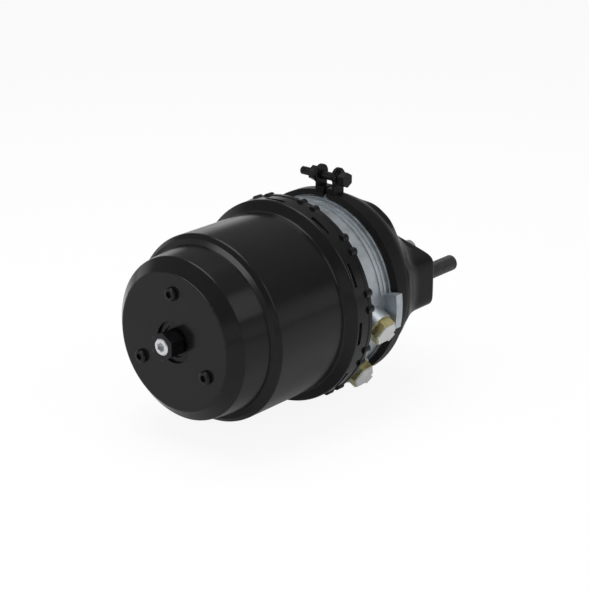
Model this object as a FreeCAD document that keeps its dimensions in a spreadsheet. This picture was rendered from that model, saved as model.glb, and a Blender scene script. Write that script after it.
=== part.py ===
import FreeCAD, Part
import math
import os

import Sketcher

# Brake actuator for an air disc brake: a parking chamber with a power spring, a flange with the
# two air ports, and a service chamber with a diaphragm, a push rod and two mounting studs.
# Every body is drawn with x running from the flat spring-end face towards the studs, and its
# Placement then sets the centre of the mounting face at the origin. Lengths are millimetres.
# It stands as it is without air: spring out, rod out, release bolt screwed in.

SIZES = [
    ("stroke", 57.0),
    ("running_gap", 0.06),
    ("face_gap", 0.3),
    # Spring housing, a drawn steel can
    ("can_wall", 3.0),
    ("face_radius", 65.6),
    ("cone_end", 10.8),
    ("cone_radius", 77.5),
    ("neck_end", 40.5),
    ("neck_radius", 81.2),
    ("step_end", 42.3),
    ("step_radius", 86.0),
    ("shoulder_end", 45.9),
    ("can_radius", 90.1),
    ("can_end", 134.0),
    ("flare_end", 140.5),
    ("skirt_radius", 100.0),
    ("skirt_end", 157.5),
    ("lip_radius", 100.8),
    ("lip_end", 162.0),
    ("lip_wall", 1.2),
    ("lip_inner_radius", 94.5),
    ("face_opening", 20.0),
    ("face_fillet", 3.0),
    ("shoulder_fillet", 2.0),
    ("flare_fillet", 2.5),
    ("slot_count", 11),
    ("slot_place", 145.5),
    ("slot_width", 4.2),
    ("slot_length", 23.0),
    ("slot_phase", -2.3),
    ("lug_radius", 4.2),
    ("lug_ring", 97.9),
    ("lug_half_pitch", 7.6),
    ("lug_start", 156.0),
    ("lug_end", 163.8),
    # Face screws
    ("screw_count", 3),
    ("screw_ring", 46.5),
    ("screw_head", 6.5),
    ("screw_head_height", 4.2),
    ("screw_shank", 4.0),
    ("screw_hole", 4.3),
    ("screw_dome", 2.0),
    ("screw_socket", 6.0),
    ("screw_socket_depth", 2.6),
    # Threaded guide of the release bolt
    ("guide_flange_radius", 52.5),
    ("guide_flange_wall", 6.0),
    ("guide_radius", 18.6),
    ("guide_front", 2.6),
    ("guide_recess_radius", 15.0),
    ("guide_recess_depth", 1.8),
    ("guide_end", 34.0),
    ("guide_seal_place", 22.0),
    ("guide_seal_width", 4.0),
    ("guide_seal_height", 3.2),
    # Release bolt
    ("bolt_radius", 9.0),
    ("bolt_flats", 24.0),
    ("bolt_head_front", 14.7),
    ("bolt_head_gap", 0.6),
    ("bolt_head_chamfer", 1.2),
    ("bolt_tail", 5.0),
    ("pin_radius", 8.0),
    ("pin_proud", 1.2),
    ("pin_depth", 5.0),
    ("pin_socket", 8.0),
    ("pin_socket_depth", 4.0),
    ("pin_chamfer", 0.8),
    ("thrust_nut_radius", 14.8),
    ("thrust_nut_length", 12.0),
    ("thrust_washer_wall", 2.0),
    # Spring piston
    ("piston_gap", 0.5),
    ("piston_front", 108.0),
    ("piston_length", 18.0),
    ("piston_rim_wall", 8.0),
    ("piston_web", 8.0),
    ("piston_hub_radius", 27.0),
    ("piston_core_wall", 6.0),
    ("piston_hub_overhang", 5.0),
    ("piston_bore_gap", 0.6),
    ("piston_seal_place", 9.5),
    ("piston_seal_width", 5.5),
    ("piston_seal_height", 4.5),
    ("guide_ring_place", 3.0),
    ("guide_ring_width", 3.5),
    ("guide_ring_height", 2.0),
    ("seat_ring_wall", 2.0),
    ("seat_ring_inner", 52.0),
    ("seat_ring_outer", 68.0),
    # Power spring
    ("spring_mean_radius", 60.0),
    ("spring_wire", 6.0),
    ("spring_turns", 3.25),
    # Tube and thrust plate
    ("tube_radius", 19.0),
    ("tube_wall", 3.0),
    ("tube_length", 140.0),
    ("thrust_plate_radius", 28.0),
    ("thrust_plate_wall", 4.0),
    ("thrust_spigot", 8.0),
    ("tube_screw_head", 7.0),
    ("tube_screw_head_height", 2.5),
    ("tube_screw_shank", 4.0),
    ("tube_screw_length", 20.0),
    # Intermediate flange, cast aluminium
    ("spigot_front", 128.0),
    ("spigot_gap", 0.15),
    ("spigot_wall", 12.0),
    ("rim_front", 143.0),
    ("rim_gap", 0.2),
    ("barrel_start", 165.0),
    ("barrel_radius", 88.0),
    ("barrel_wall", 12.0),
    ("rim_groove_start", 200.5),
    ("rim_groove_radius", 86.5),
    ("rim_start", 203.5),
    ("rim_radius", 89.4),
    ("rim_end", 209.3),
    ("clamp_rim_radius", 91.5),
    ("clamp_rim_wall", 3.5),
    ("seat_radius", 80.0),
    ("seat_depth", 12.5),
    ("flange_web", 10.0),
    ("hub_radius", 34.0),
    ("hub_front", 134.0),
    ("bush_wall", 2.5),
    ("bush_length", 30.0),
    ("tube_seal_width", 6.0),
    ("tube_seal_height", 5.0),
    ("flange_seal_place", 130.0),
    ("flange_seal_width", 3.6),
    ("flange_seal_height", 3.0),
    ("flange_rib_count", 8),
    ("flange_rib_wall", 6.0),
    ("loop_start", 190.7),
    ("loop_width", 7.8),
    ("loop_line", 2.0),
    ("loop_height", 1.2),
    ("loop_floor", 0.3),
    ("loop_middle", 74.0),
    ("loop_sweep", 142.0),
    ("loop_end_sweep", 1.4),
    ("rim_pad_start", 196.5),
    ("rim_pad_end", 205.5),
    ("rim_pad_radius", 103.0),
    ("rim_pad_middle", 154.5),
    ("rim_pad_sweep", 19.0),
    # Air ports and their transport plugs
    ("port_angle", 27.0),
    ("port_place", 182.0),
    ("port_half_pitch", 28.5),
    ("port_boss_radius", 15.2),
    ("port_boss_face", 90.5),
    ("port_bore", 11.0),
    ("port_depth", 14.0),
    ("port_web_wall", 12.0),
    ("port_web_drop", 2.0),
    ("plug_flats", 24.0),
    ("plug_head", 9.0),
    ("plug_turn", 26.0),
    ("cap_wall", 1.4),
    ("cap_flats", 21.6),
    ("cap_tab_turn", 34.0),
    ("cap_tab_width", 9.0),
    ("cap_tab_reach", 16.5),
    # Diaphragm, plate, rod
    ("diaphragm_wall", 3.2),
    ("diaphragm_roll_radius", 76.0),
    ("diaphragm_flat_radius", 52.0),
    ("plate_radius", 46.0),
    ("plate_wall", 4.0),
    ("plate_rim", 5.0),
    ("plate_rim_wall", 3.0),
    ("rod_radius", 9.0),
    ("rod_collar_radius", 16.0),
    ("rod_collar_length", 4.0),
    ("rod_rest_reach", 12.0),
    ("rod_tip_chamfer", 3.0),
    ("return_wire", 1.8),
    ("return_turns", 3.0),
    ("return_radius", 26.4),
    # Service housing
    ("rear_room", 18.2),
    ("housing_wall", 4.0),
    ("housing_rim_wall", 4.0),
    ("dome_radius", 89.5),
    ("dome_bend_back", 50.5),
    ("dome_wall", 8.0),
    ("dome_fillet", 10.0),
    ("dome_end_back", 12.0),
    ("dome_end_radius", 59.5),
    ("block_half_width", 80.5),
    ("block_side_height", 25.4),
    ("block_flat_half", 20.0),
    ("block_half_height", 42.4),
    ("block_corner", 13.0),
    ("block_reach", 50.0),
    ("block_fillet", 3.0),
    ("land_turn", 18.0),
    ("land_height", 85.3),
    ("land_half_width", 28.7),
    ("land_front_back", 66.0),
    ("land_step_back", 50.0),
    ("land_end_back", 36.0),
    ("land_depth", 14.3),
    ("mouth_radius", 24.0),
    ("mouth_seat_radius", 27.0),
    ("mouth_seat_depth", 2.0),
    ("face_ring_radius", 34.0),
    ("face_ring_wire", 2.5),
    ("face_ring_room", 0.25),
    ("gaiter_wall", 1.8),
    ("gaiter_folds", 4),
    ("gaiter_fold_length", 7.0),
    ("gaiter_fold_height", 4.0),
    ("gaiter_mouth_radius", 22.5),
    # Mounting studs
    ("stud_pitch", 120.65),
    ("stud_radius", 8.0),
    ("stud_root_radius", 8.6),
    ("stud_reach", 57.0),
    ("stud_chamfer", 1.6),
    ("stud_head_radius", 12.0),
    ("stud_head_height", 5.0),
    ("stud_boss_radius", 16.0),
    ("stud_boss_height", 6.0),
    # V clamp
    ("band_overlap", 3.3),
    ("band_edge_gap", 1.2),
    ("band_slope", 3.0),
    ("band_rise", 5.2),
    ("band_wall", 2.2),
    ("band_gap", 4.0),
    ("ear_offset", 5.0),
    ("ear_half_pitch", 10.4),
    ("ear_wall", 3.2),
    ("ear_half_width", 7.0),
    ("ear_bolt_lift", 13.7),
    ("ear_crown_lift", 2.0),
    ("ear_radius", 8.5),
    ("saddle_height", 3.5),
    ("clamp_bolt_radius", 4.0),
    ("clamp_bolt_hole", 4.4),
    ("clamp_head_flats", 13.0),
    ("clamp_head_height", 10.4),
    ("clamp_nut_height", 9.2),
    ("clamp_washer_radius", 8.5),
    ("clamp_washer_height", 1.8),
    ("clamp_bolt_tail", 13.5),
    ("clamp_thread_chamfer", 0.8),
]


class Size:
    """A size of the sheet, or a sum of sizes, that knows its formula and its value."""

    def __init__(self, formula, value):
        self.formula = formula
        self.value = float(value)

    def __add__(self, other):
        other = as_size(other)
        return Size(f"({self.formula} + {other.formula})", self.value + other.value)

    def __radd__(self, other):
        return as_size(other) + self

    def __sub__(self, other):
        other = as_size(other)
        return Size(f"({self.formula} - {other.formula})", self.value - other.value)

    def __rsub__(self, other):
        return as_size(other) - self

    def __mul__(self, other):
        other = as_size(other)
        return Size(f"({self.formula} * {other.formula})", self.value * other.value)

    def __rmul__(self, other):
        return as_size(other) * self

    def __truediv__(self, other):
        other = as_size(other)
        return Size(f"({self.formula} / {other.formula})", self.value / other.value)

    def __rtruediv__(self, other):
        return as_size(other) / self


def as_size(item):
    return item if isinstance(item, Size) else Size(repr(item), item)


def sine(angle):
    return Size(f"sin({angle.formula})", math.sin(math.radians(angle.value)))


def cosine(angle):
    return Size(f"cos({angle.formula})", math.cos(math.radians(angle.value)))


ZERO = Size("0", 0)
TINY = 1e-9
CLOSE = 0.01


class Sheet:
    """The driving sizes as attributes, each tied to its cell."""

    def __init__(self, doc, rows):
        self.table = doc.addObject("Spreadsheet::Sheet", "Dims")
        for row, (alias, value) in enumerate(rows, start=1):
            self.table.set(f"A{row}", alias)
            self.table.set(f"B{row}", str(value))
            self.table.setAlias(f"B{row}", alias)
            setattr(self, alias, Size(f"Dims.{alias}", value))


doc = FreeCAD.newDocument("brake_actuator")
d = Sheet(doc, SIZES)
doc.recompute()
SUBPARTS = []


# Building blocks

def place(item, label, turn):
    """Names a sub-part, and sets the mounting face's centre at the origin."""
    item.Label = label
    item.Placement = FreeCAD.Placement(FreeCAD.Vector(), FreeCAD.Rotation(FreeCAD.Vector(1, 0, 0), 1))
    item.setExpression("Placement.Base.x", (ZERO - overall_length).formula)
    item.setExpression("Placement.Rotation.Angle", turn.formula)
    SUBPARTS.append(item)
    return item


def new_body(label, turn=ZERO, separate=False):
    body = doc.addObject("PartDesign::Body", label + "_body")
    if separate:
        body.AllowCompound = True
    return place(body, label, turn)


def origin_item(body, role):
    return next(item for item in body.Origin.OriginFeatures if item.Role == role)


def new_sketch(body, plane, name, offset=ZERO, turn_axis=None, turn=ZERO):
    """A sketch on an origin plane, moved along its normal and turned about an axis of its own."""
    sketch = body.newObject("Sketcher::SketchObject", name)
    sketch.AttachmentSupport = (origin_item(body, plane), [""])
    sketch.MapMode = "FlatFace"
    if turn_axis:
        sketch.AttachmentOffset = FreeCAD.Placement(FreeCAD.Vector(), FreeCAD.Rotation(turn_axis, 1))
        sketch.setExpression("AttachmentOffset.Rotation.Angle", turn.formula)
    sketch.setExpression("AttachmentOffset.Base.z", offset.formula)
    return sketch


def hold_point(sketch, geometry, position, along, across):
    """Ties a point of the sketch to the origin by two sizes."""
    for kind, axis, size in (("DistanceX", -2, along), ("DistanceY", -1, across)):
        if abs(size.value) < TINY:
            sketch.addConstraint(Sketcher.Constraint("PointOnObject", geometry, position, axis))
        else:
            index = sketch.addConstraint(
                Sketcher.Constraint(kind, -1, 1, geometry, position, size.value))
            sketch.setExpression(f"Constraints[{index}]", size.formula)


def draw_outline(sketch, corners):
    """Straight edges through the corners, closed, each corner tied to its two sizes."""
    corners = [(as_size(along), as_size(across)) for along, across in corners]
    spots = [FreeCAD.Vector(along.value, across.value, 0) for along, across in corners]
    first = sketch.GeometryCount
    count = len(corners)
    for index in range(count):
        sketch.addGeometry(Part.LineSegment(spots[index], spots[(index + 1) % count]), False)
    for index in range(count):
        following = first + (index + 1) % count
        sketch.addConstraint(Sketcher.Constraint("Coincident", first + index, 2, following, 1))
    for index, (along, across) in enumerate(corners):
        hold_point(sketch, first + index, 1, along, across)


def draw_circle(sketch, along, across, radius):
    along, across, radius = as_size(along), as_size(across), as_size(radius)
    centre = FreeCAD.Vector(along.value, across.value, 0)
    circle = sketch.addGeometry(Part.Circle(centre, FreeCAD.Vector(0, 0, 1), radius.value), False)
    hold_point(sketch, circle, 3, along, across)
    index = sketch.addConstraint(Sketcher.Constraint("Radius", circle, radius.value))
    sketch.setExpression(f"Constraints[{index}]", radius.formula)


def draw_hexagon(sketch, along, across, flats, turn=ZERO):
    """A regular hexagon by its width across flats, turned from a corner above the centre."""
    corner = flats / math.sqrt(3)
    angles = [turn + 60 * number for number in range(6)]
    draw_outline(sketch, [(along + corner * sine(angle), across + corner * cosine(angle))
                          for angle in angles])


def revolve(body, corners, name):
    """Turns a closed outline, drawn as pairs of x and radius, about the x axis."""
    sketch = new_sketch(body, "XY_Plane", name + "_sketch")
    draw_outline(sketch, corners)
    turned = body.newObject("PartDesign::Revolution", name)
    turned.Profile = sketch
    turned.ReferenceAxis = (sketch, ["H_Axis"])
    turned.Angle = 360
    return turned


def groove(body, corners, name):
    sketch = new_sketch(body, "XY_Plane", name + "_sketch")
    draw_outline(sketch, corners)
    cut = body.newObject("PartDesign::Groove", name)
    cut.Profile = sketch
    cut.ReferenceAxis = (sketch, ["H_Axis"])
    cut.Angle = 360
    return cut


def part_turn(body, kind, corners, middle, sweep, name):
    """Turns a closed outline through part of a turn, evenly to both sides of an angle."""
    sketch = new_sketch(body, "XY_Plane", name + "_sketch", ZERO, FreeCAD.Vector(1, 0, 0), middle)
    draw_outline(sketch, corners)
    turned = body.newObject(kind, name)
    turned.Profile = sketch
    turned.ReferenceAxis = (sketch, ["H_Axis"])
    turned.Midplane = True
    turned.setExpression("Angle", sweep.formula)
    return turned


def ring_corners(start, end, inner, outer):
    return [(start, inner), (end, inner), (end, outer), (start, outer)]


def pad(body, sketch, length, name):
    block = body.newObject("PartDesign::Pad", name)
    block.Profile = sketch
    block.setExpression("Length", as_size(length).formula)
    return block


def pocket(body, sketch, length, name, backwards=False):
    """Cuts against the sketch's normal, or along it if backwards is set."""
    cut = body.newObject("PartDesign::Pocket", name)
    cut.Profile = sketch
    cut.Reversed = backwards
    cut.setExpression("Length", as_size(length).formula)
    return cut


def repeat(body, feature, count, name, plane_axis="X_Axis"):
    """Repeats a feature evenly round an axis."""
    pattern = body.newObject("PartDesign::PolarPattern", name)
    pattern.Originals = [feature]
    pattern.Axis = (origin_item(body, plane_axis), [""])
    pattern.Angle = 360
    pattern.setExpression("Occurrences", as_size(count).formula)
    body.Tip = pattern
    return pattern


def circle_edges(feature, *circles):
    """Names the edges that are circles about the x axis at the given pairs of x and radius."""
    found = []
    for number, edge in enumerate(feature.Shape.Edges, start=1):
        curve = edge.Curve
        if not isinstance(curve, Part.Circle):
            continue
        for along, radius in circles:
            close = abs(curve.Center.x - as_size(along).value) < CLOSE
            if close and abs(curve.Radius - as_size(radius).value) < CLOSE:
                found.append(f"Edge{number}")
    return found


def edges_where(feature, test):
    """Names the edges whose middle point passes a test."""
    found = []
    for number, edge in enumerate(feature.Shape.Edges, start=1):
        middle = edge.valueAt((edge.FirstParameter + edge.LastParameter) / 2)
        if test(middle, edge):
            found.append(f"Edge{number}")
    return found


def round_edges(body, feature, edges, radius, name):
    fillet = body.newObject("PartDesign::Fillet", name)
    fillet.Base = (feature, edges)
    fillet.setExpression("Radius", as_size(radius).formula)
    body.Tip = fillet
    return fillet


def bevel_edges(body, feature, edges, size, name):
    chamfer = body.newObject("PartDesign::Chamfer", name)
    chamfer.Base = (feature, edges)
    chamfer.setExpression("Size", as_size(size).formula)
    body.Tip = chamfer
    return chamfer


# Places that several pieces share

can_bore = d.can_radius - d.can_wall
skirt_bore = d.skirt_radius - d.can_wall
piston_back = d.piston_front + d.piston_length
piston_web_front = piston_back - d.piston_web
piston_radius = can_bore - d.piston_gap
core_front = piston_web_front - d.piston_core_wall
tube_bore = d.tube_radius - d.tube_wall
tube_end = piston_web_front + d.tube_length
thrust_plate_end = tube_end + d.thrust_plate_wall
flange_face = d.rim_end + d.clamp_rim_wall
diaphragm_back = flange_face + d.diaphragm_wall
housing_rim_back = diaphragm_back + d.housing_rim_wall
diaphragm_flat = thrust_plate_end + d.face_gap
plate_front = diaphragm_flat + d.diaphragm_wall + d.face_gap
plate_back = plate_front + d.plate_wall
overall_length = plate_back + d.rear_room
inner_face = overall_length - d.housing_wall
dome_bend = overall_length - d.dome_bend_back
dome_end = overall_length - d.dome_end_back
rod_tip = overall_length + d.rod_rest_reach + d.stroke
half_stud_pitch = d.stud_pitch / 2
washer_front = piston_web_front + d.face_gap
thrust_nut_front = washer_front + d.thrust_washer_wall + d.face_gap


# Parking chamber

def make_spring_housing():
    body = new_body("spring_housing")
    outer = revolve(body, [
        (ZERO, ZERO),
        (ZERO, d.face_radius),
        (d.cone_end, d.cone_radius),
        (d.neck_end, d.neck_radius),
        (d.step_end, d.step_radius),
        (d.shoulder_end, d.can_radius),
        (d.can_end, d.can_radius),
        (d.flare_end, d.skirt_radius),
        (d.skirt_end, d.skirt_radius),
        (d.skirt_end + d.lip_radius - d.skirt_radius, d.lip_radius),
        (d.lip_end, d.lip_radius),
        (d.lip_end, ZERO),
    ], "can")
    doc.recompute()
    face = round_edges(body, outer, circle_edges(outer, (0, d.face_radius)), d.face_fillet,
                       "face_round")
    doc.recompute()
    shoulders = circle_edges(face, (d.cone_end, d.cone_radius), (d.shoulder_end, d.can_radius))
    rounded = round_edges(body, face, shoulders, d.shoulder_fillet, "shoulder_round")
    doc.recompute()
    flares = circle_edges(rounded, (d.can_end, d.can_radius), (d.flare_end, d.skirt_radius))
    flared = round_edges(body, rounded, flares, d.flare_fillet, "flare_round")
    doc.recompute()
    add_lugs(body)
    groove(body, [
        (d.can_wall, ZERO),
        (d.can_wall, d.face_radius - d.can_wall / 2),
        (d.cone_end + d.can_wall / 3, d.cone_radius - d.can_wall),
        (d.neck_end, d.neck_radius - d.can_wall),
        (d.shoulder_end + d.can_wall / 2, can_bore),
        (d.can_end, can_bore),
        (d.flare_end + d.can_wall / 2, skirt_bore),
        (d.lip_end - d.lip_wall, skirt_bore),
        (d.lip_end - d.lip_wall, d.lip_inner_radius),
        (d.lug_end + d.face_gap, d.lip_inner_radius),
        (d.lug_end + d.face_gap, ZERO),
    ], "cavity")
    add_slots(body)
    add_face_holes(body, d.screw_hole, d.can_wall, "face")
    opening = new_sketch(body, "YZ_Plane", "opening_sketch", ZERO - d.face_gap)
    draw_circle(opening, ZERO, ZERO, d.face_opening)
    pocket(body, opening, d.can_wall + d.face_gap * 2, "opening", backwards=True)
    return body


def add_lugs(body):
    """Pairs of short lugs, bent over the flange's rim, midway between the slots."""
    between = d.slot_phase + 180 / d.slot_count
    sketch = new_sketch(body, "YZ_Plane", "lug_sketch", d.lug_start,
                        FreeCAD.Vector(0, 0, 1), between)
    draw_circle(sketch, d.lug_half_pitch, d.lug_ring, d.lug_radius)
    draw_circle(sketch, ZERO - d.lug_half_pitch, d.lug_ring, d.lug_radius)
    lugs = pad(body, sketch, d.lug_end - d.lug_start, "lugs")
    repeat(body, lugs, d.slot_count, "lug_ring")
    doc.recompute()


def add_slots(body):
    """Slots through the skirt that show the flange's rim."""
    sketch = new_sketch(body, "XY_Plane", "slot_sketch", ZERO, FreeCAD.Vector(1, 0, 0),
                        d.slot_phase)
    left, right = d.slot_place - d.slot_width / 2, d.slot_place + d.slot_width / 2
    half = d.slot_length / 2
    draw_outline(sketch, [(left, ZERO - half), (right, ZERO - half), (right, half), (left, half)])
    slot = pocket(body, sketch, d.lip_radius + d.lug_radius, "slot", backwards=True)
    repeat(body, slot, d.slot_count, "slot_ring")
    doc.recompute()


def add_face_holes(body, radius, depth, name):
    """Three holes for the face screws, the first straight above the axis."""
    sketch = new_sketch(body, "YZ_Plane", name + "_hole_sketch", ZERO - d.face_gap)
    draw_circle(sketch, ZERO, d.screw_ring, radius)
    hole = pocket(body, sketch, depth + d.face_gap * 2, name + "_hole", backwards=True)
    repeat(body, hole, d.screw_count, name + "_hole_ring")
    doc.recompute()


def make_face_screws():
    """Low-head socket screws, drawn above the axis and repeated round it."""
    body = new_body("face_screws", separate=True)
    head_sketch = new_sketch(body, "YZ_Plane", "head_sketch", ZERO - d.screw_head_height)
    draw_circle(head_sketch, ZERO, d.screw_ring, d.screw_head)
    head = pad(body, head_sketch, d.screw_head_height, "head")
    shank_sketch = new_sketch(body, "YZ_Plane", "shank_sketch")
    draw_circle(shank_sketch, ZERO, d.screw_ring, d.screw_shank)
    shank = pad(body, shank_sketch, d.can_wall + d.guide_flange_wall, "shank")
    socket_sketch = new_sketch(body, "YZ_Plane", "socket_sketch", ZERO - d.screw_head_height)
    draw_hexagon(socket_sketch, ZERO, d.screw_ring, d.screw_socket)
    socket = pocket(body, socket_sketch, d.screw_socket_depth, "socket", backwards=True)
    pattern = repeat(body, head, d.screw_count, "screw_ring")
    pattern.Originals = [head, shank, socket]
    doc.recompute()
    fronts = circle_edges(pattern, (ZERO - d.screw_head_height, d.screw_head))
    round_edges(body, pattern, fronts, d.screw_dome, "domes")
    return body


def make_release_guide():
    """Threaded guide behind the face, with its collar in the face's opening."""
    body = new_body("release_guide")
    bore = d.bolt_radius + d.running_gap
    revolve(body, [
        (d.guide_front, d.guide_recess_radius),
        (d.guide_front, d.guide_radius),
        (d.can_wall, d.guide_radius),
        (d.can_wall, d.guide_flange_radius),
        (d.can_wall + d.guide_flange_wall, d.guide_flange_radius),
        (d.can_wall + d.guide_flange_wall, d.guide_radius),
        (d.guide_end, d.guide_radius),
        (d.guide_end, bore),
        (d.guide_front + d.guide_recess_depth, bore),
        (d.guide_front + d.guide_recess_depth, d.guide_recess_radius),
    ], "guide")
    seat = bore + d.guide_seal_height + d.running_gap
    groove(body, ring_corners(d.guide_seal_place, d.guide_seal_place + d.guide_seal_width,
                              bore - d.running_gap, seat), "seal_seat")
    doc.recompute()
    add_face_holes(body, d.screw_shank + d.running_gap, d.can_wall + d.guide_flange_wall, "guide")
    return body


def make_ring(label, start, end, inner, outer):
    body = new_body(label)
    revolve(body, ring_corners(start, end, inner, outer), "ring")
    return body


def make_release_guide_seal():
    inner = d.bolt_radius + d.running_gap
    return make_ring("release_guide_seal", d.guide_seal_place + d.running_gap,
                     d.guide_seal_place + d.guide_seal_width - d.running_gap,
                     inner, inner + d.guide_seal_height)


def make_release_bolt():
    """Hexagon-headed screw; its head stands in front of the face and its tail inside the tube."""
    body = new_body("release_bolt")
    head_sketch = new_sketch(body, "YZ_Plane", "head_sketch", ZERO - d.bolt_head_front)
    draw_hexagon(head_sketch, ZERO, ZERO, d.bolt_flats)
    head = pad(body, head_sketch, d.bolt_head_front - d.bolt_head_gap + d.guide_front, "head")
    shank_end = thrust_nut_front + d.thrust_nut_length + d.bolt_tail
    shank_sketch = new_sketch(body, "YZ_Plane", "shank_sketch")
    draw_circle(shank_sketch, ZERO, ZERO, d.bolt_radius)
    pad(body, shank_sketch, shank_end, "shank")
    corner = d.bolt_flats / math.sqrt(3)
    groove(body, [
        (ZERO - d.bolt_head_front - d.face_gap, corner - d.bolt_head_chamfer),
        (ZERO - d.bolt_head_front, corner - d.bolt_head_chamfer),
        (ZERO - d.bolt_head_front + d.bolt_head_chamfer / 2, corner + d.face_gap),
        (ZERO - d.bolt_head_front - d.face_gap, corner + d.face_gap),
    ], "head_bevel")
    groove(body, [
        (ZERO - d.bolt_head_front - d.face_gap, ZERO),
        (ZERO - d.bolt_head_front - d.face_gap, d.pin_radius + d.running_gap),
        (ZERO - d.bolt_head_front + d.pin_depth, d.pin_radius + d.running_gap),
        (ZERO - d.bolt_head_front + d.pin_depth, ZERO),
    ], "pin_seat")
    return body


def make_indicator_pin():
    body = new_body("indicator_pin")
    front = ZERO - d.bolt_head_front - d.pin_proud
    sketch = new_sketch(body, "YZ_Plane", "pin_sketch", front)
    draw_circle(sketch, ZERO, ZERO, d.pin_radius)
    pin = pad(body, sketch, d.pin_proud + d.pin_depth, "pin")
    doc.recompute()
    bevelled = bevel_edges(body, pin, circle_edges(pin, (front, d.pin_radius)), d.pin_chamfer,
                           "pin_bevel")
    socket_sketch = new_sketch(body, "YZ_Plane", "socket_sketch", front)
    draw_hexagon(socket_sketch, ZERO, ZERO, d.pin_socket)
    pocket(body, socket_sketch, d.pin_socket_depth, "socket", backwards=True)
    return body


def make_thrust_nut():
    return make_ring("release_thrust_nut", thrust_nut_front,
                     thrust_nut_front + d.thrust_nut_length,
                     d.bolt_radius + d.running_gap, d.thrust_nut_radius)


def make_thrust_washer():
    return make_ring("release_thrust_washer", washer_front, washer_front + d.thrust_washer_wall,
                     d.bolt_radius + d.running_gap, d.thrust_nut_radius)


def make_spring_piston():
    """Cast piston: a rim with two grooves, a web with ribs, and a hub that grips the tube."""
    body = new_body("spring_piston")
    hub_bore = d.tube_radius + d.running_gap
    hub_end = piston_back + d.piston_hub_overhang
    revolve(body, [
        (core_front, d.bolt_radius + d.piston_bore_gap),
        (core_front, d.piston_hub_radius),
        (piston_web_front, d.piston_hub_radius),
        (piston_web_front, piston_radius - d.piston_rim_wall),
        (d.piston_front, piston_radius - d.piston_rim_wall),
        (d.piston_front, piston_radius),
        (piston_back, piston_radius),
        (piston_back, d.piston_hub_radius),
        (hub_end, d.piston_hub_radius),
        (hub_end, hub_bore),
        (piston_web_front, hub_bore),
        (piston_web_front, d.bolt_radius + d.piston_bore_gap),
    ], "casting")
    for name, place_in, width, height in (
            ("seal_groove", d.piston_seal_place, d.piston_seal_width, d.piston_seal_height),
            ("ring_groove", d.guide_ring_place, d.guide_ring_width, d.guide_ring_height)):
        start = d.piston_front + place_in
        groove(body, ring_corners(start, start + width, piston_radius - height,
                                  piston_radius + d.piston_gap), name)
    doc.recompute()
    return body


def make_piston_ring(label, place_in, width, height):
    start = d.piston_front + place_in
    return make_ring(label, start + d.running_gap, start + width - d.running_gap,
                     piston_radius - height + d.running_gap, can_bore - d.running_gap)


def make_seat_ring():
    return make_ring("spring_seat_ring", piston_web_front - d.seat_ring_wall, piston_web_front,
                     d.seat_ring_inner, d.seat_ring_outer)


def make_piston_tube():
    return make_ring("piston_tube", piston_web_front, tube_end, tube_bore, d.tube_radius)


def make_thrust_plate():
    """Plate that closes the tube and pushes on the diaphragm."""
    body = new_body("tube_thrust_plate")
    screw_hole = d.tube_screw_shank + d.running_gap
    head_seat = d.tube_screw_head + d.face_gap
    seat_depth = thrust_plate_end - d.tube_screw_head_height - d.face_gap
    revolve(body, [
        (tube_end - d.thrust_spigot, screw_hole),
        (tube_end - d.thrust_spigot, tube_bore - d.running_gap),
        (tube_end, tube_bore - d.running_gap),
        (tube_end, d.thrust_plate_radius),
        (thrust_plate_end, d.thrust_plate_radius),
        (thrust_plate_end, head_seat),
        (seat_depth, head_seat),
        (seat_depth, screw_hole),
    ], "plate")
    return body


def make_thrust_screw():
    body = new_body("tube_thrust_screw")
    head_back = thrust_plate_end - d.face_gap
    head_front = head_back - d.tube_screw_head_height
    revolve(body, [
        (head_back - d.tube_screw_length, ZERO),
        (head_back - d.tube_screw_length, d.tube_screw_shank),
        (head_front, d.tube_screw_shank),
        (head_front, d.tube_screw_head),
        (head_back, d.tube_screw_head),
        (head_back, ZERO),
    ], "screw")
    return body


def make_spring(label, start, end, radius, wire, turns):
    """A coil of round wire about the x axis."""
    length = end.value - start.value
    coil = Part.makeHelix(length / turns.value, length, radius.value)
    section = Part.makeCircle(wire.value, FreeCAD.Vector(radius.value, 0, 0),
                              FreeCAD.Vector(0, 1, 0))
    solid = Part.Wire(coil).makePipeShell([Part.Wire(section)], True, True)
    feature = doc.addObject("Part::Feature", label)
    upright = FreeCAD.Rotation(FreeCAD.Vector(0, 0, 1), FreeCAD.Vector(1, 0, 0))
    along_x = FreeCAD.Placement(FreeCAD.Vector(start.value, 0, 0), upright).toMatrix()
    feature.Shape = solid.transformed(along_x, copy=True)
    return place(feature, label, ZERO)


# Intermediate flange

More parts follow.
